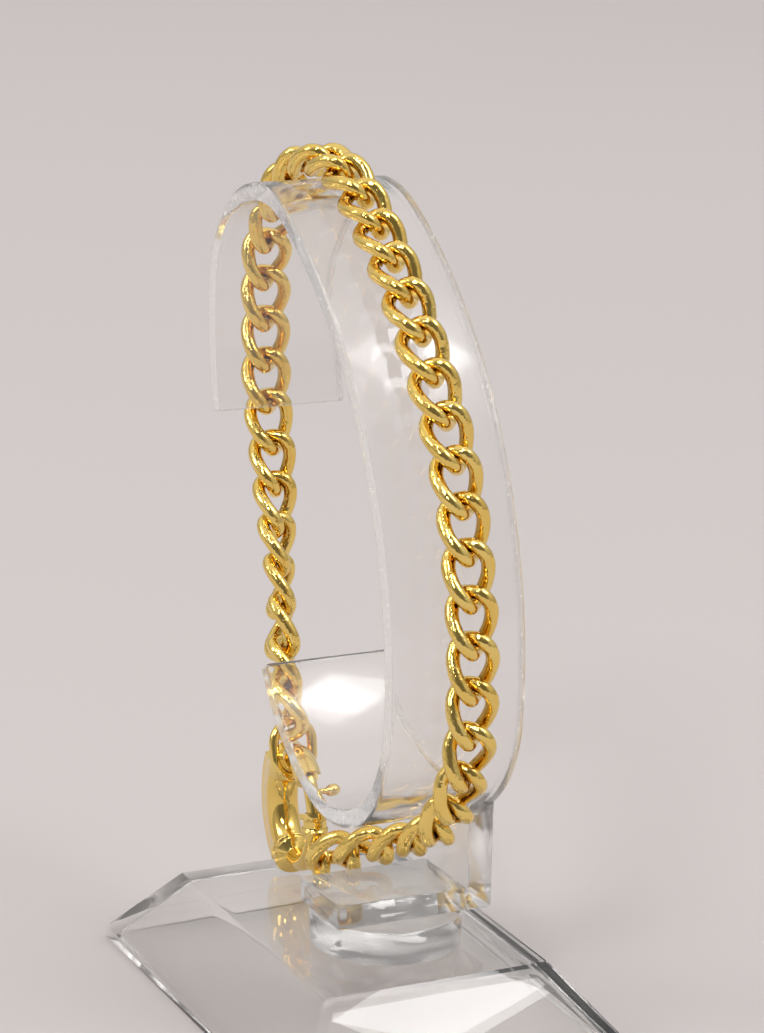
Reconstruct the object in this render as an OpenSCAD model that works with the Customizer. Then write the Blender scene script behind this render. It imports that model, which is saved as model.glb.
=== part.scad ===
// Curb link bracelet with a bolt ring clasp, hung round a C-shaped cuff on a clear display stand.
// Millimetres. X runs from back to front, Y across the cuff's strip, Z up.
// The origin is the centre of the base's underside.

/* [Base] */
// Length of the base's top face, front to back
base_top_length = 38; // [36:0.5:40]
// Width of the base's top face
base_top_width = 25.6; // [24:0.2:27]
// Height of the base
base_height = 9; // [8:0.5:10]
// How far each sloping side runs out
base_slope = 6.5; // [5:0.5:7]
// Height of the upright edge below the slopes
base_edge = 1.3; // [1:0.1:2]
// Wall thickness of the moulded base, which is open beneath
base_wall = 1.3; // [1:0.1:1.6]

/* [Foot] */
// Diameter of the round foot
foot_d = 16.2; // [14:0.2:18]
// Height of the round foot
foot_height = 3.65; // [3:0.05:4.5]
// Distance from the base's centre to the foot's centre
foot_x = 6.5; // [5:0.5:7]

/* [Bracket] */
// Length of the bracket plate, front to back
bracket_length = 9.7; // [8:0.1:11]
// Thickness of the flat plate
plate_thickness = 2.65; // [2:0.05:3]
// Thickness of the upright post
post_thickness = 3; // [2:0.1:3.4]
// Near side of the flat plate
plate_near_y = -7.8; // [-8.5:0.1:-7]
// Near side of the post
post_near_y = 7.1; // [6.6:0.1:7.4]

/* [Cuff] */
// Width of the bent strip
cuff_width = 15.3; // [14:0.1:16]
// Thickness of the bent strip
cuff_thickness = 2; // [1.5:0.1:2.2]
// Middle of the strip, measured across
cuff_mid_y = 2.95; // [2.5:0.05:3.2]

/* [Links] */
// Number of links in the chain
link_count = 38; // [38:1:38]
// Outer length of a link
link_length = 7.75; // [7.7:0.05:7.8]
// Outer width of a link
link_width = 5.6; // [5.5:0.05:5.7]
// Wire diameter of a link
link_wire = 1.4; // [1.3:0.05:1.4]
// Twist of each end of a link out of its middle plane, in degrees
link_twist = 52; // [50:1:54]
// Squareness of a link's oval, 2 is an ellipse
link_squareness = 2.6; // [2.4:0.1:2.8]

/* [Clasp] */
// Radius of the bolt ring's centre line
ring_r = 5.8; // [5.75:0.05:5.85]
// Diameter of the hollow ring tube
tube_d = 3.6; // [3.4:0.05:3.6]
// Diameter of the bore in the ring tube
tube_bore_d = 2.1; // [2:0.05:2.2]
// Diameter of the sliding bolt
bolt_d = 1.7; // [1.5:0.05:1.7]
// How far the bolt slides back, in degrees about the ring's centre
bolt_travel = 40; // [30:1:40]

/* [Hidden] */
$fn = 64;

gold = "gold";
clear = [0.85, 0.88, 0.9, 0.4];

plate_z = base_height + foot_height;
// Gap left for the cement between the post and the cuff
cement_gap = 0.02;

// The cuff is a row of tangent bends, from its lower tip under and round to its upper tip.
// Each row is the outer radius and the turn in degrees.
cuff_bends = [[27.2, 33.6], [14.9, 111.2], [52.5, 65.3], [13.9, 113.3], [42.5, 20.2]];
cuff_tip = [-16.5, 32.7];
cuff_tip_heading = -58;
// Longest turn between two points of the strip's outline, in degrees
bend_step = 3;
cuff_near_y = cuff_mid_y - cuff_width / 2;

// The unit vector that points outward where the strip runs at this heading
function outward(heading) = [sin(heading), -cos(heading)];
function bend_heading(i) = i == 0 ? cuff_tip_heading : bend_heading(i - 1) + cuff_bends[i - 1][1];
function bend_centre(i) = i == 0
    ? cuff_tip - cuff_bends[0][0] * outward(cuff_tip_heading)
    : bend_centre(i - 1) + (cuff_bends[i - 1][0] - cuff_bends[i][0]) * outward(bend_heading(i));
// The bend in which the strip has this heading
function bend_at(heading, i = 0) =
    i == len(cuff_bends) - 1 || heading < bend_heading(i + 1) ? i : bend_at(heading, i + 1);
// A point outside the cuff at this heading, this far from its outer face
function cuff_point(heading, off) =
    bend_centre(bend_at(heading)) + (cuff_bends[bend_at(heading)][0] + off) * outward(heading);

// Bolt ring: angles run in the XZ plane from +X towards +Z, about the ring's centre
collar_d = 4.6;
collar_angle = 253;
collar_end = collar_angle + 6.5;
// The ring stands on its collar, this far clear of the base
ring_rest_gap = 0.1;
ring_centre = [-12.7, -1.6, base_height + ring_rest_gap - (ring_r + collar_d / 2) * sin(collar_end)];
// Turn of the ring's plane about Z, away from the XZ plane
ring_yaw = -6;
mouth_angle = 52;
tube_end_angle = collar_angle - 2;
// Diameter of the tube's slim part, and the angle up to which it runs from the mouth
slim_tube_d = 2.9;
slim_tube_end = 122;
// Bands round the ring, each with its first angle, its last angle and its diameter
sleeve_band = [119, 146, 4];
collar_bands = [[collar_angle - 7, collar_angle - 2.5, collar_d],
    [collar_angle - 3, collar_angle + 3, 4.1], [collar_angle + 2.5, collar_end, collar_d]];
stem_band = [collar_angle + 5, 356, 2];
socket_bands = [[355, 359, 2.9], [358.5, 371, 2.6], [370.5, 376, 3.5]];
socket_bore_start = 362;
rail_band = [146, 240];
rail_height = 0.7;
rail_width = 3.2;
bolt_tip_angle = 7;
bolt_tail_angle = 100;
knob_angle = 32;
knob_d = 1.7;
knob_stem_d = 0.8;
// The knob's ball slides just clear of the tube
knob_reach = slim_tube_d / 2 + knob_d / 2 + 0.15;
slot_width = 1;
slot_end_angle = knob_angle + bolt_travel + 6;
eye_angle = 337;
eye_distance = 8.5;
eye_r = 1.75;
eye_wire = 1.1;

function on_ring(angle, radius) = ring_centre +
    radius * [cos(angle) * cos(ring_yaw), cos(angle) * sin(ring_yaw), sin(angle)];

// End ring, an oval wire hooked round the slim part of the bolt ring
end_ring_angle = 106.5;
end_ring_wire = 1.1;
end_ring_width = 5.7;
end_ring_length = 7.2;
// Turn of the oval about its long axis, away from square across the tube
end_ring_turn = 5;
end_ring_low = ring_r - slim_tube_d / 2 - end_ring_wire / 2 - 0.25;
end_ring_high = end_ring_low + end_ring_length - end_ring_wire;

// Route of the chain's middle: from the clasp's eye under the cuff, round it and down its back
// to the end ring. Each point is X, Y, Z and the roll of the links in degrees.
chain_off = 1.95;
eye_point = on_ring(eye_angle, eye_distance);
route_start = [
    [eye_point[0], eye_point[1], eye_point[2], 42],
    [-1.6, -1.9, 15.7, 34],
    [1.9, -0.6, 17.5, 22],
    [5.6, 1.1, 19.1, 9]];
// Where the chain lies on the cuff: the strip's heading in degrees and the chain's Y
route_on_cuff = [[35, 2.7], [55, 3], [74, 3.2], [84, 3.3], [92, 3.4], [100, 3.45], [110, 3.5], [120, 3.3],
    [135, 2.95], [150, 3], [172, 3], [199, 3], [226, 3], [252, 2.9], [266, 3], [275, 3], [283, 2.8]];
route_cuff = [for (row = route_on_cuff) let (p = cuff_point(row[0], chain_off)) [p[0], row[1], p[1], 0]];
ring_hook = on_ring(end_ring_angle, end_ring_high);
route_end = [
    [-31.4, 2.8, 55.3, 4],
    [-29.1, 2.3, 50, 19],
    [-26.4, 1.5, 45, 41],
    [-23.9, 0.8, 40.2, 63],
    [-21.4, 0, 35.6, 80],
    [-18.95, -0.8, 31, 76],
    [ring_hook[0], ring_hook[1], ring_hook[2], 66]];
route = concat(route_start, route_cuff, route_end);

// A smooth curve through the route's points
route_steps = 8;
function route_knot(i) = route[max(0, min(len(route) - 1, i))];
function through(a, b, c, d, t) =
    0.5 * (2 * b + (c - a) * t + (2 * a - 5 * b + 4 * c - d) * t * t + (3 * b - a - 3 * c + d) * t * t * t);
route_fine = [for (k = [0 : (len(route) - 1) * route_steps]) let (i = floor(k / route_steps))
    through(route_knot(i - 1), route_knot(i), route_knot(i + 1), route_knot(i + 2), k / route_steps - i)];
function xyz(v) = [v[0], v[1], v[2]];
// Distance travelled along the route, up to each of its fine points
route_run = [for (k = 0, run = 0; k < len(route_fine); k = k + 1,
    run = run + (k < len(route_fine) ? norm(xyz(route_fine[k]) - xyz(route_fine[k - 1])) : 0)) run];
route_length = route_run[len(route_run) - 1];
function route_table(axis) = [for (k = [0 : len(route_fine) - 1]) [route_run[k], route_fine[k][axis]]];
route_x = route_table(0);
route_y = route_table(1);
route_z = route_table(2);
route_roll = route_table(3);
function on_route(s) = [lookup(s, route_x), lookup(s, route_y), lookup(s, route_z)];

// Links: half sizes of the wire's centre line, and the place of each link
half_length = (link_length - link_wire) / 2;
half_width = (link_width - link_wire) / 2;
first_link_s = half_length + 0.3;
last_link_s = route_length - half_length + link_wire + 0.2;
link_pitch = (last_link_s - first_link_s) / (link_count - 1);
link_rings = 16;
wire_sides = 6;

function unit(v) = v / norm(v);
function signed_power(v, e) = sign(v) * pow(abs(v), e);
// The wire's centre line at angle t round the link: an oval, twisted about its long axis
function link_line(t) = let (
        along = half_length * signed_power(cos(t), 2 / link_squareness),
        across = half_width * signed_power(sin(t), 2 / link_squareness),
        twist = link_twist * along / half_length)
    [along, across * cos(twist), across * sin(twist)];
// The ring of wire points at angle t
function link_ring(t) = let (
        middle = link_line(t),
        run = unit(link_line(t + 1) - link_line(t - 1)),
        twist = link_twist * middle[0] / half_length,
        side = unit(cross(run, [0, -sin(twist), cos(twist)])),
        rise = cross(side, run))
    [for (k = [0 : wire_sides - 1])
        middle + link_wire / 2 * (cos(360 * k / wire_sides) * side + sin(360 * k / wire_sides) * rise)];
link_points = [for (j = [0 : link_rings - 1]) each link_ring(360 * (j + 0.5) / link_rings)];
function ring_index(j, k) = (j % link_rings) * wire_sides + k % wire_sides;
link_faces = [for (j = [0 : link_rings - 1], k = [0 : wire_sides - 1]) each [
    [ring_index(j, k), ring_index(j, k + 1), ring_index(j + 1, k)],
    [ring_index(j, k + 1), ring_index(j + 1, k + 1), ring_index(j + 1, k)]]];

// Moves a link from its own axes (along, across, out of the plane) to its place on the route
module place_link(i) {
    s = first_link_s + (i - 1) * link_pitch;
    run = unit(on_route(s + 1.5) - on_route(s - 1.5));
    out_flat = unit(cross([0, 1, 0], run));
    across_flat = cross(run, out_flat);
    roll = lookup(s, route_roll);
    across = cos(roll) * across_flat + sin(roll) * out_flat;
    out = cross(across, run);
    at = on_route(s);
    multmatrix([
        [run[0], across[0], out[0], at[0]],
        [run[1], across[1], out[1], at[1]],
        [run[2], across[2], out[2], at[2]],
        [0, 0, 0, 1]])
        children();
}

module chain_link(i) {
    color(gold)
        place_link(i)
            polyhedron(points = link_points, faces = link_faces, convexity = 6);
}

// A block of this size along X, with its ends sloping in above the upright edge. With an inset, the
// block that lies this far inside it, and reaches out below.
module sloped_slab(length, width, inset = 0) {
    rise = base_height - base_edge;
    slide = inset * norm([base_slope, rise]) / rise;
    bottom_half = length / 2 - inset;
    top_half = length / 2 - slide - base_slope * (rise - inset) / rise;
    bend_z = base_edge - (slide - inset) * rise / base_slope;
    top_z = base_height - inset;
    translate([0, width / 2, 0])
        rotate([90, 0, 0])
            linear_extrude(height = width)
                polygon([
                    [-bottom_half, -inset], [bottom_half, -inset], [bottom_half, bend_z],
                    [top_half, top_z], [-top_half, top_z], [-bottom_half, bend_z]]);
}

module sloped_block(inset = 0) {
    length = base_top_length + 2 * base_slope;
    width = base_top_width + 2 * base_slope;
    intersection() {
        sloped_slab(length, width, inset);
        rotate([0, 0, 90]) sloped_slab(width, length, inset);
    }
}

module base() {
    color(clear)
        difference() {
            sloped_block();
            sloped_block(base_wall);
        }
}

module foot() {
    color(clear)
        translate([foot_x, 0, base_height])
            cylinder(d = foot_d, h = foot_height);
}

module bracket_plate() {
    color(clear)
        translate([foot_x - bracket_length / 2, plate_near_y, plate_z])
            cube([bracket_length, post_near_y - plate_near_y, plate_thickness]);
}

module post() {
    under = bend_centre(1);
    color(clear)
        difference() {
            translate([foot_x - bracket_length / 2, post_near_y, plate_z])
                cube([bracket_length, post_thickness, under[1] - plate_z]);
            translate([under[0], post_near_y - 1, under[1]])
                rotate([-90, 0, 0])
                    cylinder(r = cuff_bends[1][0] + cement_gap, h = post_thickness + 2, $fn = 96);
        }
}

// The points of one bend, this far in from the strip's outer face
function bend_points(i, inset) = let (steps = ceil(cuff_bends[i][1] / bend_step))
    [for (k = [(i == 0 ? 0 : 1) : steps])
        bend_centre(i) + (cuff_bends[i][0] - inset) * outward(bend_heading(i) + cuff_bends[i][1] * k / steps)];
function strip_points(inset) = [for (i = [0 : len(cuff_bends) - 1]) each bend_points(i, inset)];

module cuff() {
    outer = strip_points(0);
    inner = strip_points(cuff_thickness);
    color(clear)
        translate([0, cuff_near_y + cuff_width, 0])
            rotate([90, 0, 0])
                linear_extrude(height = cuff_width)
                    polygon(concat(outer, [for (k = [len(inner) - 1 : -1 : 0]) inner[k]]));
}

// Everything in the ring's own plane: local Z points towards -Y
module in_ring_plane() {
    translate(ring_centre)
        rotate([90, 0, ring_yaw])
            children();
}

// A round bar bent along the ring's centre line
module ring_bar(first, last, d) {
    rotate([0, 0, first])
        rotate_extrude(angle = last - first, $fn = 96)
            translate([ring_r, 0])
                circle(d = d, $fn = 48);
}

module ring_rail() {
    rotate([0, 0, rail_band[0]])
        rotate_extrude(angle = rail_band[1] - rail_band[0], $fn = 96)
            translate([ring_r, -rail_width / 2])
                square([tube_d / 2 + rail_height, rail_width]);
}

// The slot through which the thumb knob reaches the bolt
module knob_slot() {
    rotate([0, 0, mouth_angle - 2])
        rotate_extrude(angle = slot_end_angle - mouth_angle + 2, $fn = 96)
            translate([ring_r - slot_width / 2, -slim_tube_d])
                square([slot_width, slim_tube_d]);
}

module ring_eye() {
    rotate([0, 0, eye_angle])
        translate([eye_distance, 0, 0])
            rotate_extrude($fn = 48)
                translate([eye_r, 0])
                    circle(d = eye_wire, $fn = 32);
}

module clasp_ring() {
    color(gold)
        in_ring_plane()
            difference() {
                union() {
                    ring_bar(mouth_angle, slim_tube_end, slim_tube_d);
                    ring_bar(sleeve_band[0], sleeve_band[1], sleeve_band[2]);
                    ring_bar(slim_tube_end, tube_end_angle, tube_d);
                    ring_rail();
                    for (band = concat(collar_bands, socket_bands)) ring_bar(band[0], band[1], band[2]);
                    ring_bar(stem_band[0], stem_band[1], stem_band[2]);
                    ring_eye();
                }
                ring_bar(mouth_angle - 1, tube_end_angle - 2, tube_bore_d);
                ring_bar(socket_bore_start, socket_bands[2][1] + 1, tube_bore_d);
                knob_slot();
            }
}

module clasp_bolt() {
    color(gold)
        in_ring_plane() {
            ring_bar(bolt_tip_angle, bolt_tail_angle, bolt_d);
            rotate([0, 0, knob_angle])
                translate([ring_r, 0, -knob_reach]) {
                    cylinder(d = knob_stem_d, h = knob_reach, $fn = 24);
                    sphere(d = knob_d, $fn = 32);
                }
        }
}

// Two half circles of wire joined by two straight legs
module end_ring() {
    straight = end_ring_length - end_ring_width;
    bend_r = (end_ring_width - end_ring_wire) / 2;
    color(gold)
        translate(on_ring(end_ring_angle, (end_ring_low + end_ring_high) / 2))
            rotate([0, 0, ring_yaw])
                rotate([0, -end_ring_angle, 0])
                    rotate([end_ring_turn, 0, 0]) {
                        for (side = [0, 180])
                            rotate([0, 0, side])
                                translate([straight / 2, 0, 0])
                                    rotate([0, 0, -90])
                                        rotate_extrude(angle = 180, $fn = 48)
                                            translate([bend_r, 0])
                                                circle(d = end_ring_wire, $fn = 32);
                        for (leg = [-bend_r, bend_r])
                            translate([-straight / 2, leg, 0])
                                rotate([0, 90, 0])
                                    cylinder(d = end_ring_wire, h = straight, $fn = 32);
                    }
}

module link_01() {
    chain_link(1);
}

module link_02() {
    chain_link(2);
}

module link_03() {
    chain_link(3);
}

module link_04() {
    chain_link(4);
}

module link_05() {
    chain_link(5);
}

module link_06() {
    chain_link(6);
}

module link_07() {
    chain_link(7);
}

module link_08() {
    chain_link(8);
}

module link_09() {
    chain_link(9);
}

module link_10() {
    chain_link(10);
}

module link_11() {
    chain_link(11);
}

module link_12() {
    chain_link(12);
}

module link_13() {
    chain_link(13);
}

module link_14() {
    chain_link(14);
}

module link_15() {
    chain_link(15);
}

module link_16() {
    chain_link(16);
}

module link_17() {
    chain_link(17);
}

module link_18() {
    chain_link(18);
}

module link_19() {
    chain_link(19);
}

module link_20() {
    chain_link(20);
}

module link_21() {
    chain_link(21);
}

module link_22() {
    chain_link(22);
}

module link_23() {
    chain_link(23);
}

module link_24() {
    chain_link(24);
}

module link_25() {
    chain_link(25);
}

module link_26() {
    chain_link(26);
}

module link_27() {
    chain_link(27);
}

module link_28() {
    chain_link(28);
}

module link_29() {
    chain_link(29);
}

module link_30() {
    chain_link(30);
}

module link_31() {
    chain_link(31);
}

module link_32() {
    chain_link(32);
}

module link_33() {
    chain_link(33);
}

module link_34() {
    chain_link(34);
}

module link_35() {
    chain_link(35);
}

module link_36() {
    chain_link(36);
}

module link_37() {
    chain_link(37);
}

module link_38() {
    chain_link(38);
}

base();
foot();
bracket_plate();
post();
cuff();
clasp_ring();
clasp_bolt();
end_ring();
link_01();
link_02();
link_03();
link_04();
link_05();
link_06();
link_07();
link_08();
link_09();
link_10();
link_11();
link_12();
link_13();
link_14();
link_15();
link_16();
link_17();
link_18();
link_19();
link_20();
link_21();
link_22();
link_23();
link_24();
link_25();
link_26();
link_27();
link_28();
link_29();
link_30();
link_31();
link_32();
link_33();
link_34();
link_35();
link_36();
link_37();
link_38();
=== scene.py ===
"""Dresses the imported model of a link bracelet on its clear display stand."""

import math

import bmesh
import bpy
import numpy as np
from mathutils import Matrix, Vector


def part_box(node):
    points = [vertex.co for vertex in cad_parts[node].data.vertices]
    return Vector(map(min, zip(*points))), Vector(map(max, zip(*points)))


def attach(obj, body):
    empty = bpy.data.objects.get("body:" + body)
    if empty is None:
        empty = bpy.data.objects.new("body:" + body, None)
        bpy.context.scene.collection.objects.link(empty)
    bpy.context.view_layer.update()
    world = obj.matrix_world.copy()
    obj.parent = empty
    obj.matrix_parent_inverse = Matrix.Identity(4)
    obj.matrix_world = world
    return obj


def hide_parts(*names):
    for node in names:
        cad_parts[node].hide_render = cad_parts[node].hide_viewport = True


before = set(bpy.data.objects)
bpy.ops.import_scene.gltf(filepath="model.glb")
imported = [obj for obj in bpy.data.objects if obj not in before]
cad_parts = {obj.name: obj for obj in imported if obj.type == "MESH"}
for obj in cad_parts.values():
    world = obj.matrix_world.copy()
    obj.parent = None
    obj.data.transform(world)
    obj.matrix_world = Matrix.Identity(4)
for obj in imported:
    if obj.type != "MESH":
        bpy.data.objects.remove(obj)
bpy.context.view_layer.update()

bl_info = {
    "name": "Link bracelet on its stand",
    "version": (1, 0, 0),
    "blender": (4, 5, 0),
    "location": "3D View > Sidebar > Bracelet",
    "description": "Gold links, bolt ring clasp and clear stand, dressed round the packed CAD model",
    "category": "Object",
}

BODY = "stand_and_bracelet"
BOLT_BODY = "bolt"
LINK_NODES = sorted(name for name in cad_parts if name.startswith("link_"))
MM = 0.001

# The cuff's side outline, as the part's source has it: the outer radius in mm and the turn in degrees
# of each bend, from the lower tip under and round to the upper tip. The lower tip's place along X and Z
# is in mm, and its heading in degrees.
CUFF_BENDS = ((27.2, 33.6), (14.9, 111.2), (52.5, 65.3), (13.9, 113.3), (42.5, 20.2))
CUFF_TIP = (-16.5, 32.7)
CUFF_TIP_HEADING = -58.0
CUFF_THICKNESS = 2.0

# The turn from which an edge is rounded, and the turn from which it is shaded crisp
ROUNDED_FROM = math.radians(30)
BASE_ROUNDED_FROM = math.radians(28)
CRISP_FROM = math.radians(50)
CUFF_CRISP_FROM = math.radians(60)

# The finishes' noises: scale, detail and roughness, then the two levels between which each one shows
NOISES = {
    "gold patches": ((260, 3, 0.5), (0.35, 0.7)),
    "gold polish": ((900, 4, 0.6), (0.3, 0.75)),
    "acrylic scuffs": ((1300, 3, 0.6), (0.60, 0.72)),
    "acrylic dust": ((1900, 2, 0.5), (0.72, 0.78)),
    "acrylic haze": ((120, 4, 0.6), (0.4, 0.75)),
    "paper shade": ((3, 2, 0.5), (0.3, 0.7)),
}
# The finishes' bumps: scale, detail and roughness of the noise, then depth and strength
BUMPS = {
    "hammered gold": ((1000, 2, 0.5), 0.13 * MM, 1.0),
    "scratched gold": ((5200, 2, 0.5), 0.006 * MM, 0.8),
    "wavy acrylic": ((60, 2, 0.5), 0.04 * MM, 0.5),
}
DENT_SCALE = 420.0
DENT_SEED = 7.0

# The gold's redder patches, as shares of its own red, green and blue
REDDER_GOLD = (0.94, 0.86, 0.66)
# Painted shade on the gold where a wire faces into its own link: its dark brown colour and its greatest
# share, and how far a surface faces its link's centre where this starts and where it is full
PAINTED_SHADE_COLOUR = (0.36, 0.19, 0.03, 1.0)
PAINTED_SHADE_MOST = 0.75
PAINTED_SHADE_FACING = (0.3, 0.9)
# The gold's roughness where it is best polished, where it is dullest, and what wear adds there
BEST_POLISH = 0.05
DULL_POLISH = 0.06
WORN_POLISH = 0.08

# The share of light that the clean acrylic lets through, then its dust and its scuffs
CLEAR_SHARE = 0.985
DUST_COLOUR = (0.88, 0.87, 0.86, 1.0)
DUST_ROUGHNESS = 0.12
SCUFFS_MOST = 0.4
# How far a face turns sideways on the strip where its edge finish starts and is full
EDGE_FACING = (0.3, 1.0)

PAPER_ROUGHNESS = 0.75
PAPER_SHADE = 0.985
ROOM_COLOUR = (1.0, 0.98, 0.97, 1.0)
# The compass angle and the height of the key light, in degrees
KEY_WAY = (48, 56)
# The softboxes: name, compass angle and height in degrees, width and height in m, power in W
SOFTBOXES = (
    ("key", *KEY_WAY, (0.90, 0.77), 11.0),
    ("left", -105, 35, (0.86, 1.29), 16.0),
    ("front", -52, 44, (0.60, 0.80), 14.0),
    ("above", -35, 70, (0.44, 0.44), 12.0),
)
SOFTBOX_DISTANCE = 3.0
# The glow round the key light, as the cosines of the angles at which it starts and is full
GLOW_EDGE = (0.93, 0.99)
# The room behind the camera, as the cosines of the angles at which it starts to darken and is dark
DARK_EDGE = (0.55, 0.9)
# The heights, as shares, between which the room's light rises from the walls' to the sky's
SKY_EDGE = (0.1, 0.8)


class StandSettings(bpy.types.PropertyGroup):
    """Sizes and finish of the clear stand"""
    edge_round: bpy.props.FloatProperty(
        name="Edge round", description="Radius of the stand's polished edges",
        default=0.28 * MM, min=0.0, unit="LENGTH", precision=5)
    cuff_round: bpy.props.FloatProperty(
        name="Cuff edge round", description="Radius of the bent strip's edges",
        default=0.35 * MM, min=0.0, unit="LENGTH", precision=5)
    cuff_step: bpy.props.FloatProperty(
        name="Cuff step", description="Turn between two sections of the bent strip",
        default=math.radians(1.5), subtype="ANGLE")
    base_inner_round: bpy.props.FloatProperty(
        name="Base inner round", description="Radius of the corners inside the base",
        default=1.1 * MM, unit="LENGTH", precision=5)
    tint: bpy.props.FloatVectorProperty(
        name="Tint", description="Colour of the clear acrylic", subtype="COLOR", size=4,
        default=(0.995, 0.985, 0.975, 1.0), min=0.0, max=1.0)
    ior: bpy.props.FloatProperty(
        name="Index of refraction", description="Bending of the light inside, softer than in solid acrylic",
        default=1.14, min=1.0, max=2.0)
    gloss_ior: bpy.props.FloatProperty(
        name="Gloss index", description="Index that the polished faces mirror with", default=1.5,
        min=1.0, max=2.0)
    haze: bpy.props.FloatProperty(
        name="Haze", description="Roughness where the acrylic is dullest", default=0.02, min=0.0, max=1.0,
        precision=3)
    strip_gloss_blur: bpy.props.FloatProperty(
        name="Strip gloss blur", description="Roughness of the mirror gloss on the handled strip",
        default=0.12, min=0.0, max=1.0)
    edge_haze: bpy.props.FloatProperty(
        name="Edge haze", description="Share of light that the strip's sawn edges scatter", default=0.28,
        min=0.0, max=1.0)
    milkiness: bpy.props.FloatProperty(
        name="Milkiness", description="Share of light that the thick glued pieces scatter", default=0.10,
        min=0.0, max=1.0, precision=3)
    joint_gap: bpy.props.FloatProperty(
        name="Joint gap", description="Gap between glued pieces, so that light passes them one at a time",
        default=0.02 * MM, unit="LENGTH", precision=6)


class LinkSettings(bpy.types.PropertyGroup):
    """Sizes and colour of the chain's links"""
    length: bpy.props.FloatProperty(
        name="Link length", description="Outer length of a link", default=7.75 * MM,
        unit="LENGTH", precision=5)
    width: bpy.props.FloatProperty(
        name="Link width", description="Outer width of a link", default=5.6 * MM,
        unit="LENGTH", precision=5)
    centre_wire: bpy.props.FloatProperty(
        name="CAD wire", description="Wire diameter that the outer sizes are measured with",
        default=1.4 * MM, unit="LENGTH", precision=5)
    wire: bpy.props.FloatProperty(
        name="Wire", description="Diameter of the round wire that shows", default=1.5 * MM,
        unit="LENGTH", precision=5)
    twist: bpy.props.FloatProperty(
        name="Twist", description="Turn of a link's ends out of its middle plane, under 0 for left-handed",
        default=math.radians(-52), subtype="ANGLE")
    squareness: bpy.props.FloatProperty(
        name="Squareness", description="2 is an ellipse", default=2.6, min=2.0, max=4.0)
    rings: bpy.props.IntProperty(
        name="Rings", description="Sections round a link", default=64, min=16, max=96)
    sides: bpy.props.IntProperty(
        name="Sides", description="Sides of the wire's section", default=16, min=6, max=24)
    dent: bpy.props.FloatProperty(
        name="Dents", description="Depth of the wear on the hollow links", default=0.05 * MM,
        unit="LENGTH", precision=6)
    gold: bpy.props.FloatVectorProperty(
        name="Gold", description="Colour of the links", subtype="COLOR", size=4,
        default=(0.96, 0.71, 0.22, 1.0), min=0.0, max=1.0)


class ClaspSettings(bpy.types.PropertyGroup):
    """Shading and colour of the clasp"""
    smooth_angle: bpy.props.FloatProperty(
        name="Smooth angle", description="Edges sharper than this stay crisp",
        default=math.radians(32), subtype="ANGLE")
    gold: bpy.props.FloatVectorProperty(
        name="Gold", description="Colour of the clasp", subtype="COLOR", size=4,
        default=(0.95, 0.71, 0.23, 1.0), min=0.0, max=1.0)


class StageSettings(bpy.types.PropertyGroup):
    """The camera, the floor and the room's light"""
    camera_place: bpy.props.FloatVectorProperty(
        name="Camera place", description="Where the camera stands", subtype="TRANSLATION", size=3,
        default=(299.635 * MM, -144.010 * MM, 143.233 * MM))
    camera_azimuth: bpy.props.FloatProperty(
        name="Camera azimuth", description="Turn of the camera about the upright axis",
        default=math.radians(64.061), subtype="ANGLE")
    camera_elevation: bpy.props.FloatProperty(
        name="Camera elevation", description="How steeply the camera looks down",
        default=math.radians(15.085), subtype="ANGLE")
    camera_roll: bpy.props.FloatProperty(
        name="Camera roll", description="Turn of the camera about its own axis",
        default=math.radians(1.2287), subtype="ANGLE")
    camera_lens: bpy.props.FloatProperty(
        name="Lens", description="Focal length in millimetres on a 36 mm sensor", default=115.0)
    floor_colour: bpy.props.FloatVectorProperty(
        name="Floor colour", description="Colour of the seamless paper", subtype="COLOR", size=4,
        default=(0.60, 0.557, 0.547, 1.0), min=0.0, max=1.0)
    floor_side: bpy.props.FloatProperty(
        name="Floor side", description="Side of the paper's square", default=8.0, unit="LENGTH")
    sky_light: bpy.props.FloatProperty(
        name="Sky light", description="Brightness of the room overhead", default=0.85)
    wall_light: bpy.props.FloatProperty(
        name="Wall light", description="Brightness of the room at eye level", default=0.42)
    dark_light: bpy.props.FloatProperty(
        name="Dark side", description="Brightness of the room behind the camera", default=0.16)
    glow_light: bpy.props.FloatProperty(
        name="Glow", description="Brightness of the soft glow round the key light", default=0.8)


# Small helpers for node trees

def add_node(tree, kind, **settings):
    node = tree.nodes.new(kind)
    for key, value in settings.items():
        setattr(node, key, value)
    return node


def feed(tree, value, socket):
    """Links an output socket to this input, or sets the input to a plain value."""
    if isinstance(value, bpy.types.NodeSocket):
        tree.links.new(value, socket)
    else:
        socket.default_value = value


def calc(tree, operation, *values):
    node = add_node(tree, "ShaderNodeMath", operation=operation)
    for socket, value in zip(node.inputs, values):
        feed(tree, value, socket)
    return node.outputs[0]


def noise(tree, coords, scale, detail, roughness):
    node = add_node(tree, "ShaderNodeTexNoise")
    feed(tree, coords, node.inputs["Vector"])
    node.inputs["Scale"].default_value = scale
    node.inputs["Detail"].default_value = detail
    node.inputs["Roughness"].default_value = roughness
    return node.outputs[0]


def ramp(tree, value, low, high, out_low, out_high, kind="LINEAR"):
    node = add_node(tree, "ShaderNodeMapRange", interpolation_type=kind)
    for socket, v in zip(node.inputs, (value, low, high, out_low, out_high)):
        feed(tree, v, socket)
    return node.outputs[0]


def patches(tree, coords, name, least, most):
    """The named noise, as a value that rises from its least to its most between the noise's levels."""
    grain, levels = NOISES[name]
    return ramp(tree, noise(tree, coords, *grain), *levels, least, most)


def nearness(tree, way, other):
    """The cosine of the angle between a direction in the tree and a fixed one."""
    node = add_node(tree, "ShaderNodeVectorMath", operation="DOT_PRODUCT")
    feed(tree, way, node.inputs[0])
    feed(tree, tuple(other), node.inputs[1])
    return node.outputs["Value"]


def blend_colours(tree, factor, first, second):
    node = add_node(tree, "ShaderNodeMix", data_type="RGBA")
    feed(tree, factor, node.inputs[0])
    feed(tree, first, node.inputs[6])
    feed(tree, second, node.inputs[7])
    return node.outputs[2]


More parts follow.
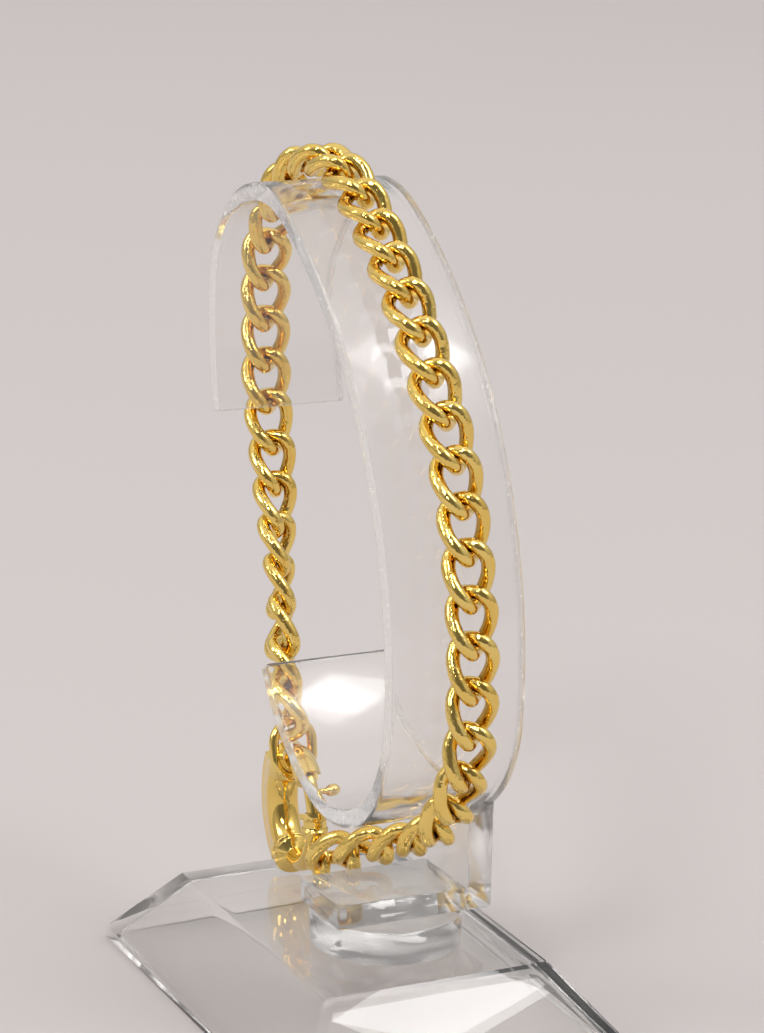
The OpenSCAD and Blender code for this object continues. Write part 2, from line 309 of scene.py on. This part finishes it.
def bump(tree, coords, name, share=1.0, under=None):
    """The named bump at this share of its depth, on top of the one under it."""
    grain, depth, strength = BUMPS[name]
    node = add_node(tree, "ShaderNodeBump")
    node.inputs["Strength"].default_value = strength
    node.inputs["Distance"].default_value = depth * share
    feed(tree, noise(tree, coords, *grain), node.inputs["Height"])
    if under is not None:
        feed(tree, under, node.inputs["Normal"])
    return node.outputs[0]


def new_material(name):
    material = bpy.data.materials.new(name)
    material.use_nodes = True
    tree = material.node_tree
    tree.nodes.clear()
    shader = add_node(tree, "ShaderNodeBsdfPrincipled")
    output = add_node(tree, "ShaderNodeOutputMaterial")
    tree.links.new(shader.outputs[0], output.inputs["Surface"])
    coords = add_node(tree, "ShaderNodeTexCoord").outputs["Object"]
    return material, tree, shader, coords


def gold_material(name, colour, wear):
    """Polished, finely scratched yellow gold, hammered by wear, with painted shade where "inner" nears 1.
    """
    material, tree, shader, coords = new_material(name)
    redder = tuple(own * share for own, share in zip(colour, REDDER_GOLD)) + (1.0,)
    alloy = blend_colours(tree, patches(tree, coords, "gold patches", 0.0, 1.0), colour, redder)
    inner = add_node(tree, "ShaderNodeAttribute", attribute_name="inner").outputs["Fac"]
    # Painted shade: the gold darkens towards brown where its surface faces its own link's centre
    painted_shade = ramp(tree, inner, *PAINTED_SHADE_FACING, 0.0, PAINTED_SHADE_MOST)
    feed(tree, blend_colours(tree, painted_shade, alloy, PAINTED_SHADE_COLOUR), shader.inputs["Base Color"])
    shader.inputs["Metallic"].default_value = 1.0
    polish = patches(tree, coords, "gold polish", BEST_POLISH, DULL_POLISH + WORN_POLISH * wear)
    feed(tree, polish, shader.inputs["Roughness"])
    hammered = bump(tree, coords, "hammered gold", wear)
    feed(tree, bump(tree, coords, "scratched gold", under=hammered), shader.inputs["Normal"])
    return material


def acrylic_material(name, settings, edge_haze=0.0, gloss_blur=0.02, milkiness=0.0):
    """Clear acrylic with dust and a haze that comes and goes, paler and scuffed where "edge" nears 1."""
    material, tree, shader, coords = new_material(name)
    facing = add_node(tree, "ShaderNodeAttribute", attribute_name="edge").outputs["Fac"]
    edge = ramp(tree, facing, *EDGE_FACING, 0.0, 1.0)
    shader.inputs["IOR"].default_value = settings.ior
    shader.inputs["Coat Weight"].default_value = 1.0
    shader.inputs["Coat IOR"].default_value = settings.gloss_ior
    shader.inputs["Coat Roughness"].default_value = gloss_blur
    scuffs = patches(tree, coords, "acrylic scuffs", 0.0, SCUFFS_MOST if edge_haze else 0.0)
    scattered = calc(tree, "MULTIPLY", edge, calc(tree, "ADD", edge_haze, scuffs))
    let_through = calc(tree, "SUBTRACT", CLEAR_SHARE - milkiness, scattered)
    feed(tree, let_through, shader.inputs["Transmission Weight"])
    dust = patches(tree, coords, "acrylic dust", 0.0, 1.0)
    dusty = blend_colours(tree, dust, tuple(settings.tint), DUST_COLOUR)
    feed(tree, dusty, shader.inputs["Base Color"])
    haze = patches(tree, coords, "acrylic haze", 0.0, settings.haze)
    rough = calc(tree, "ADD", haze, calc(tree, "MULTIPLY", dust, DUST_ROUGHNESS))
    edge_rough = calc(tree, "MULTIPLY", edge, edge_haze / 2)
    feed(tree, calc(tree, "ADD", rough, edge_rough), shader.inputs["Roughness"])
    feed(tree, bump(tree, coords, "wavy acrylic"), shader.inputs["Normal"])
    return material


def plain_object(name, mesh, material, slot, body, *nodes):
    """Puts a finished mesh in the scene, on its body and in place of its CAD nodes."""
    obj = bpy.data.objects.new(name, mesh)
    bpy.context.scene.collection.objects.link(obj)
    mesh.materials.clear()
    mesh.materials.append(material)
    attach(obj, body)
    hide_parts(*nodes)


def with_modifiers(mesh, add_modifiers):
    """The mesh with the modifiers that add_modifiers sets on it, as a new plain mesh."""
    obj = bpy.data.objects.new("working copy", mesh)
    bpy.context.scene.collection.objects.link(obj)
    add_modifiers(obj)
    depsgraph = bpy.context.evaluated_depsgraph_get()
    made = bpy.data.meshes.new_from_object(obj.evaluated_get(depsgraph), depsgraph=depsgraph)
    bpy.data.objects.remove(obj)
    return made


def merged_copy(node, flatten=math.radians(0.3)):
    """A copy of a CAD node's mesh, its doubles merged and its flat faces made whole."""
    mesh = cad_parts[node].data.copy()
    form = bmesh.new()
    form.from_mesh(mesh)
    bmesh.ops.remove_doubles(form, verts=form.verts, dist=1e-7)
    if flatten:
        bmesh.ops.dissolve_limit(form, angle_limit=flatten, verts=form.verts, edges=form.edges)
    bmesh.ops.recalc_face_normals(form, faces=form.faces)
    form.to_mesh(mesh)
    form.free()
    return mesh


def smooth(mesh, sharp_angle):
    """Smooth shading, with the edges that turn more than sharp_angle left crisp."""
    mesh.shade_smooth()
    mesh.set_sharp_from_angle(angle=sharp_angle)
    return mesh


def draw_back(mesh, axis, gap):
    """Moves the mesh's lowest face along this axis in by the gap."""
    lowest = min(v.co[axis] for v in mesh.vertices)
    for vertex in mesh.vertices:
        if vertex.co[axis] < lowest + 1e-6:
            vertex.co[axis] += gap
    return mesh


def round_edges(mesh, radius, rounded_from=ROUNDED_FROM):
    """The mesh with its edges rounded, where they turn more than rounded_from."""
    def add_bevel(obj):
        bevel = obj.modifiers.new("round", "BEVEL")
        bevel.width = radius
        bevel.segments = 3
        bevel.limit_method = "ANGLE"
        bevel.angle_limit = rounded_from
        bevel.use_clamp_overlap = True
        bevel.harden_normals = False

    return smooth(with_modifiers(mesh, add_bevel), CRISP_FROM)


# Stand

def cuff_headings(step):
    """The strip's outer points and headings from tip to tip, in the XZ plane, in metres and radians."""
    def outward(heading):
        return Vector((math.sin(heading), -math.cos(heading)))

    heading = math.radians(CUFF_TIP_HEADING)
    centre = Vector(CUFF_TIP) * MM - CUFF_BENDS[0][0] * MM * outward(heading)
    rows, last_radius = [], CUFF_BENDS[0][0] * MM
    for radius_mm, turn_degrees in CUFF_BENDS:
        radius, turn = radius_mm * MM, math.radians(turn_degrees)
        centre += (last_radius - radius) * outward(heading)
        steps = max(2, math.ceil(turn / step))
        for k in range(1 if rows else 0, steps + 1):
            at = heading + turn * k / steps
            rows.append((centre + radius * outward(at), at))
        heading += turn
        last_radius = radius
    return rows


def rounded_section(depth, width, radius, corner_steps=4):
    """Points round a rectangle with rounded corners, each with how far it faces sideways."""
    points = []
    for corner, (u, v) in enumerate(((depth - radius, width - radius), (radius, width - radius),
                                     (radius, radius), (depth - radius, radius))):
        for k in range(corner_steps + 1):
            angle = math.radians(90 * (corner + k / corner_steps))
            side = math.sin(angle)
            points.append((u + radius * math.cos(angle), v + radius * side, abs(side)))
    return points


def cuff_mesh(settings):
    """The bent strip, swept from tip to tip, with its tips rounded over like its edges."""
    low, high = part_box("cuff")
    width, depth, radius = high.y - low.y, CUFF_THICKNESS * MM, settings.cuff_round
    least_corner = radius * 0.12
    tip_steps = 4
    rows = cuff_headings(settings.cuff_step)
    form = bmesh.new()
    edge = form.verts.layers.float.new("edge")
    rings = []

    def add_ring(point, heading, shrink, ahead, tip=0.0):
        inward = Vector((-math.sin(heading), 0, math.cos(heading)))
        run = Vector((math.cos(heading), 0, math.sin(heading)))
        at = Vector((point.x, low.y, point.y)) + ahead * run
        ring = []
        corner = max(radius - shrink, least_corner)
        for u, v, side in rounded_section(depth - 2 * shrink, width - 2 * shrink, corner):
            vertex = form.verts.new(at + inward * (u + shrink) + Vector((0, v + shrink, 0)))
            vertex[edge] = max(side, tip)
            ring.append(vertex)
        rings.append(ring)

    def add_tip_ring(row, side, k):
        angle = math.radians(90 * k / tip_steps)
        ahead = side * radius * (1 - math.cos(angle))
        add_ring(*row, radius * (1 - math.sin(angle)), ahead, math.cos(angle))

    for k in range(tip_steps):
        add_tip_ring(rows[0], 1, k)
    add_ring(*rows[0], 0.0, radius)
    for row in rows[1:-1]:
        add_ring(*row, 0.0, 0.0)
    add_ring(*rows[-1], 0.0, -radius)
    for k in reversed(range(tip_steps)):
        add_tip_ring(rows[-1], -1, k)
    for first, second in zip(rings, rings[1:]):
        for k in range(len(first)):
            after = (k + 1) % len(first)
            form.faces.new((first[k], first[after], second[after], second[k]))
    form.faces.new(rings[0])
    form.faces.new(rings[-1])
    bmesh.ops.recalc_face_normals(form, faces=form.faces)
    mesh = bpy.data.meshes.new("cuff strip")
    form.to_mesh(mesh)
    form.free()
    return smooth(mesh, CUFF_CRISP_FROM)


def base_mesh(settings):
    """The moulded base, with rounder corners inside its hollow than outside."""
    form = bmesh.new()
    form.from_mesh(merged_copy("base"))
    low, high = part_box("base")
    centre = (low + high) / 2

    def faces_in(face):
        return face.normal.dot(face.calc_center_median() - centre) < 0

    least_turn = math.radians(5)
    hollow = [edge for edge in form.edges
              if all(faces_in(face) for face in edge.link_faces) and edge.calc_face_angle() > least_turn]
    bmesh.ops.bevel(form, geom=hollow, offset=settings.base_inner_round, segments=5, affect="EDGES",
                    profile=0.5, clamp_overlap=True)
    mesh = bpy.data.meshes.new("base shell")
    form.to_mesh(mesh)
    form.free()
    return round_edges(mesh, settings.edge_round, BASE_ROUNDED_FROM)


class BRACELET_OT_stand(bpy.types.Operator):
    """Makes the base, its foot, the bracket and the bent cuff in clear acrylic"""
    bl_idname = "bracelet.stand"
    bl_label = "Clear stand"

    def execute(self, context):
        settings = context.scene.bracelet_stand
        acrylic = acrylic_material("clear acrylic", settings)
        plain_object("moulded_base", base_mesh(settings), acrylic, "clear_acrylic", BODY, "base")
        strip = acrylic_material("bent acrylic strip", settings, settings.edge_haze,
                                 settings.strip_gloss_blur)
        plain_object("bent_cuff", cuff_mesh(settings), strip, "clear_acrylic", BODY, "cuff")
        thick = acrylic_material("thick clear acrylic", settings, milkiness=settings.milkiness)
        for node, name, joint_axis in (("foot", "round_foot", 2), ("bracket_plate", "bracket_slab", 2),
                                       ("post", "bracket_post", 1)):
            mesh = draw_back(merged_copy(node), joint_axis, settings.joint_gap)
            plain_object(name, round_edges(mesh, settings.edge_round), thick, "clear_acrylic", BODY, node)
        return {"FINISHED"}


# Links

def link_place(node):
    """A link's centre and turn, from the long axis, the width and the thickness of its CAD node."""
    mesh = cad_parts[node].data
    points = np.empty(len(mesh.vertices) * 3, np.float32)
    mesh.vertices.foreach_get("co", points)
    points = points.reshape(-1, 3).astype(float)
    centre = points.mean(axis=0)
    axes = np.linalg.eigh(np.cov((points - centre).T))[1]
    run, across = Vector(axes[:, 2]), Vector(axes[:, 1])
    turn = Matrix((run, across, run.cross(across))).transposed()
    return Vector(centre), turn.to_quaternion()


def link_points_mesh(places):
    """One point for each link, with its turn as an attribute."""
    mesh = bpy.data.meshes.new("link places")
    mesh.from_pydata([centre for centre, turn in places], [], [])
    turns = mesh.attributes.new("turn", "QUATERNION", "POINT")
    for item, (centre, turn) in zip(turns.data, places):
        item.value = turn
    return mesh


def add_input(tree, name, kind):
    return tree.interface.new_socket(name, in_out="INPUT", socket_type=kind).identifier


def links_tree():
    """A tree that bends one twisted oval link, puts it at each point and dents the wire."""
    tree = bpy.data.node_groups.new("Curb links", "GeometryNodeTree")
    add_input(tree, "Geometry", "NodeSocketGeometry")
    sockets = {name: add_input(tree, name, "NodeSocket" + kind) for name, kind in (
        ("Half length", "Float"), ("Half width", "Float"), ("Wire radius", "Float"), ("Twist", "Float"),
        ("Squareness", "Float"), ("Rings", "Int"), ("Sides", "Int"), ("Dent", "Float"), ("Seed", "Float"),
        ("Gold", "Material"))}
    tree.interface.new_socket("Geometry", in_out="OUTPUT", socket_type="NodeSocketGeometry")
    given = add_node(tree, "NodeGroupInput").outputs
    circle = add_node(tree, "GeometryNodeCurvePrimitiveCircle", mode="RADIUS")
    feed(tree, given["Rings"], circle.inputs["Resolution"])
    circle.inputs["Radius"].default_value = 1.0
    around = add_node(tree, "ShaderNodeSeparateXYZ")
    feed(tree, add_node(tree, "GeometryNodeInputPosition").outputs[0], around.inputs[0])
    power = calc(tree, "DIVIDE", 2.0, given["Squareness"])

    def squared(value):
        return calc(tree, "MULTIPLY", calc(tree, "SIGN", value),
                    calc(tree, "POWER", calc(tree, "ABSOLUTE", value), power))

    share = squared(around.outputs[0])
    across = calc(tree, "MULTIPLY", squared(around.outputs[1]), given["Half width"])
    turned = calc(tree, "MULTIPLY", share, given["Twist"])
    line = add_node(tree, "ShaderNodeCombineXYZ")
    feed(tree, calc(tree, "MULTIPLY", share, given["Half length"]), line.inputs[0])
    feed(tree, calc(tree, "MULTIPLY", across, calc(tree, "COSINE", turned)), line.inputs[1])
    feed(tree, calc(tree, "MULTIPLY", across, calc(tree, "SINE", turned)), line.inputs[2])
    bent = add_node(tree, "GeometryNodeSetPosition")
    feed(tree, circle.outputs[0], bent.inputs["Geometry"])
    feed(tree, line.outputs[0], bent.inputs["Position"])
    section = add_node(tree, "GeometryNodeCurvePrimitiveCircle", mode="RADIUS")
    feed(tree, given["Sides"], section.inputs["Resolution"])
    feed(tree, given["Wire radius"], section.inputs["Radius"])
    wire = add_node(tree, "GeometryNodeCurveToMesh")
    feed(tree, bent.outputs[0], wire.inputs["Curve"])
    feed(tree, section.outputs[0], wire.inputs["Profile Curve"])
    turn = add_node(tree, "GeometryNodeInputNamedAttribute", data_type="QUATERNION")
    turn.inputs["Name"].default_value = "turn"
    placed = add_node(tree, "GeometryNodeInstanceOnPoints")
    feed(tree, given["Geometry"], placed.inputs["Points"])
    feed(tree, wire.outputs[0], placed.inputs["Instance"])
    feed(tree, next(o for o in turn.outputs if o.enabled), placed.inputs["Rotation"])
    real = add_node(tree, "GeometryNodeRealizeInstances")
    feed(tree, placed.outputs[0], real.inputs[0])
    wear = add_node(tree, "ShaderNodeTexNoise", noise_dimensions="4D")
    feed(tree, given["Seed"], wear.inputs["W"])
    wear.inputs["Scale"].default_value = DENT_SCALE
    wear.inputs["Detail"].default_value = 1.0
    depth = calc(tree, "MULTIPLY", calc(tree, "SUBTRACT", wear.outputs[0], 0.5), given["Dent"])
    push = add_node(tree, "ShaderNodeVectorMath", operation="SCALE")
    feed(tree, add_node(tree, "GeometryNodeInputNormal").outputs[0], push.inputs[0])
    feed(tree, calc(tree, "MULTIPLY", depth, 2.0), push.inputs["Scale"])
    dented = add_node(tree, "GeometryNodeSetPosition")
    feed(tree, real.outputs[0], dented.inputs["Geometry"])
    feed(tree, push.outputs[0], dented.inputs["Offset"])
    shaded = add_node(tree, "GeometryNodeSetShadeSmooth")
    feed(tree, dented.outputs[0], shaded.inputs[0])
    finished = add_node(tree, "GeometryNodeSetMaterial")
    feed(tree, shaded.outputs[0], finished.inputs["Geometry"])
    feed(tree, given["Gold"], finished.inputs["Material"])
    feed(tree, finished.outputs[0], add_node(tree, "NodeGroupOutput").inputs[0])
    return tree, sockets


def mark_inner_sides(mesh, centres):
    """Writes for each vertex how far it faces its own link's centre; the links' vertices are in order."""
    points = np.empty(len(mesh.vertices) * 3, np.float32)
    mesh.vertices.foreach_get("co", points)
    normals = np.empty_like(points)
    mesh.vertex_normals.foreach_get("vector", normals)
    points = points.reshape(len(centres), -1, 3)
    inward = np.array(centres)[:, None, :] - points
    inward /= np.linalg.norm(inward, axis=2, keepdims=True)
    facing = (inward * normals.reshape(points.shape)).sum(axis=2).ravel()
    inner = mesh.attributes.new("inner", "FLOAT", "POINT")
    inner.data.foreach_set("value", facing.astype(np.float32))


class BRACELET_OT_links(bpy.types.Operator):
    """Makes the chain's twisted oval links, one at each CAD link"""
    bl_idname = "bracelet.links"
    bl_label = "Curb links"

    def execute(self, context):
        settings = context.scene.bracelet_links
        gold = gold_material("link gold", tuple(settings.gold), wear=1.0)
        tree, sockets = links_tree()
        values = {
            "Half length": (settings.length - settings.centre_wire) / 2,
            "Half width": (settings.width - settings.centre_wire) / 2,
            "Wire radius": settings.wire / 2,
            "Twist": settings.twist,
            "Squareness": settings.squareness,
            "Rings": settings.rings,
            "Sides": settings.sides,
            "Dent": settings.dent,
            "Seed": DENT_SEED,
            "Gold": gold,
        }

        def add_links(obj):
            modifier = obj.modifiers.new("links", "NODES")
            modifier.node_group = tree
            for name, identifier in sockets.items():
                modifier[identifier] = values[name]

        places = [link_place(node) for node in LINK_NODES]
        mesh = with_modifiers(link_points_mesh(places), add_links)
        form = bmesh.new()
        form.from_mesh(mesh)
        bmesh.ops.recalc_face_normals(form, faces=form.faces)
        form.to_mesh(mesh)
        form.free()
        mark_inner_sides(mesh, [centre for centre, turn in places])
        plain_object("curb_links", mesh, gold, "link_gold", BODY, *LINK_NODES)
        return {"FINISHED"}


# Clasp

class BRACELET_OT_clasp(bpy.types.Operator):
    """Makes the bolt ring, its sliding bolt and the end ring in polished gold"""
    bl_idname = "bracelet.clasp"
    bl_label = "Clasp"

    def execute(self, context):
        settings = context.scene.bracelet_clasp
        gold = gold_material("clasp gold", tuple(settings.gold), wear=0.3)
        for node, name, slot, body in (
                ("clasp_ring", "bolt_ring", "clasp_gold", BODY),
                ("clasp_bolt", "sliding_bolt", "clasp_gold", BOLT_BODY),
                ("end_ring", "oval_end_ring", "link_gold", BODY)):
            mesh = smooth(merged_copy(node, flatten=0), settings.smooth_angle)
            plain_object(name, mesh, gold, slot, body, node)
        return {"FINISHED"}


# Stage

def softbox(name, place, target, size, power):
    light = bpy.data.lights.new(name, "AREA")
    light.shape = "RECTANGLE"
    light.size, light.size_y = size
    light.energy = power
    obj = bpy.data.objects.new(name, light)
    obj.location = place
    obj.rotation_euler = (Vector(target) - Vector(place)).to_track_quat("-Z", "Y").to_euler()
    bpy.context.scene.collection.objects.link(obj)


def toward(azimuth, elevation, distance):
    """A place at this compass angle from +X towards +Y, this high above the horizon, from the stand."""
    a, e = math.radians(azimuth), math.radians(elevation)
    return Vector((math.cos(a) * math.cos(e), math.sin(a) * math.cos(e), math.sin(e))) * distance


class BRACELET_OT_stage(bpy.types.Operator):
    """Makes the pale floor, the soft lights and the camera"""
    bl_idname = "bracelet.stage"
    bl_label = "Stage"

    def execute(self, context):
        scene, settings = context.scene, context.scene.bracelet_stage
        form = bmesh.new()
        bmesh.ops.create_grid(form, x_segments=1, y_segments=1, size=settings.floor_side / 2)
        mesh = bpy.data.meshes.new("paper floor")
        form.to_mesh(mesh)
        form.free()
        material, tree, shader, coords = new_material("seamless paper")
        pale = tuple(settings.floor_colour)
        darker = tuple(own * PAPER_SHADE for own in pale[:3]) + (1.0,)
        shade = patches(tree, coords, "paper shade", 0.0, 1.0)
        feed(tree, blend_colours(tree, shade, pale, darker), shader.inputs["Base Color"])
        shader.inputs["Roughness"].default_value = PAPER_ROUGHNESS
        mesh.materials.append(material)
        floor = bpy.data.objects.new("floor", mesh)
        scene.collection.objects.link(floor)

        world = bpy.data.worlds.new("studio")
        scene.world = world
        world.use_nodes = True
        tree = world.node_tree
        background = tree.nodes["Background"]
        way = add_node(tree, "ShaderNodeTexCoord").outputs["Generated"]
        parts = add_node(tree, "ShaderNodeSeparateXYZ")
        feed(tree, way, parts.inputs[0])
        room = ramp(tree, parts.outputs["Z"], *SKY_EDGE, settings.wall_light, settings.sky_light)
        behind = ramp(tree, nearness(tree, way, settings.camera_place.normalized()), *DARK_EDGE, 0.0, 1.0)
        lit = calc(tree, "MULTIPLY", room, calc(tree, "SUBTRACT", 1.0, behind))
        light = calc(tree, "ADD", lit, calc(tree, "MULTIPLY", settings.dark_light, behind))
        keyward = nearness(tree, way, toward(*KEY_WAY, 1.0))
        glow = ramp(tree, keyward, *GLOW_EDGE, 0.0, settings.glow_light, "SMOOTHSTEP")
        light = calc(tree, "ADD", light, glow)
        background.inputs["Color"].default_value = ROOM_COLOUR
        feed(tree, light, background.inputs["Strength"])
        target = (0.0, 0.0, 45 * MM)
        for name, azimuth, elevation, size, power in SOFTBOXES:
            softbox(name, toward(azimuth, elevation, SOFTBOX_DISTANCE), target, size, power)

        camera_data = bpy.data.cameras.new("camera")
        camera_data.lens = settings.camera_lens
        camera_data.sensor_width = 36.0
        camera_data.clip_start = 0.01
        camera_data.clip_end = 20.0
        camera = bpy.data.objects.new("camera", camera_data)
        a, e, r = settings.camera_azimuth, settings.camera_elevation, settings.camera_roll
        back = Vector((math.sin(a) * math.cos(e), -math.cos(a) * math.cos(e), math.sin(e)))
        right = Vector((math.cos(a), math.sin(a), 0.0))
        up = back.cross(right)
        axes = (math.cos(r) * right + math.sin(r) * up, math.cos(r) * up - math.sin(r) * right, back)
        camera.matrix_world = (Matrix.Translation(settings.camera_place)
                               @ Matrix(axes).transposed().to_4x4())
        scene.collection.objects.link(camera)
        scene.camera = camera
        scene.view_settings.view_transform = "Standard"
        return {"FINISHED"}


class BRACELET_PT_panel(bpy.types.Panel):
    """Lists the pieces of the bracelet and its stand"""
    bl_idname = "BRACELET_PT_panel"
    bl_label = "Link bracelet"
    bl_space_type = "VIEW_3D"
    bl_region_type = "UI"
    bl_category = "Bracelet"

    def draw(self, context):
        layout = self.layout
        for operator, group in (
                ("bracelet.stand", "bracelet_stand"), ("bracelet.links", "bracelet_links"),
                ("bracelet.clasp", "bracelet_clasp"), ("bracelet.stage", "bracelet_stage")):
            box = layout.box()
            settings = getattr(context.scene, group)
            for key in settings.bl_rna.properties.keys():
                if key not in ("rna_type", "name"):
                    box.prop(settings, key)
            box.operator(operator)


SETTINGS = {"bracelet_stand": StandSettings, "bracelet_links": LinkSettings,
            "bracelet_clasp": ClaspSettings, "bracelet_stage": StageSettings}
CLASSES = (*SETTINGS.values(), BRACELET_OT_stand, BRACELET_OT_links, BRACELET_OT_clasp,
           BRACELET_OT_stage, BRACELET_PT_panel)


def register():
    for cls in CLASSES:
        bpy.utils.register_class(cls)
    for name, group in SETTINGS.items():
        setattr(bpy.types.Scene, name, bpy.props.PointerProperty(type=group))


def unregister():
    for name in SETTINGS:
        delattr(bpy.types.Scene, name)
    for cls in reversed(CLASSES):
        bpy.utils.unregister_class(cls)


def main():
    register()
    bpy.ops.bracelet.stand()
    bpy.ops.bracelet.links()
    bpy.ops.bracelet.clasp()
    bpy.ops.bracelet.stage()


if __name__ == "__main__":
    main()
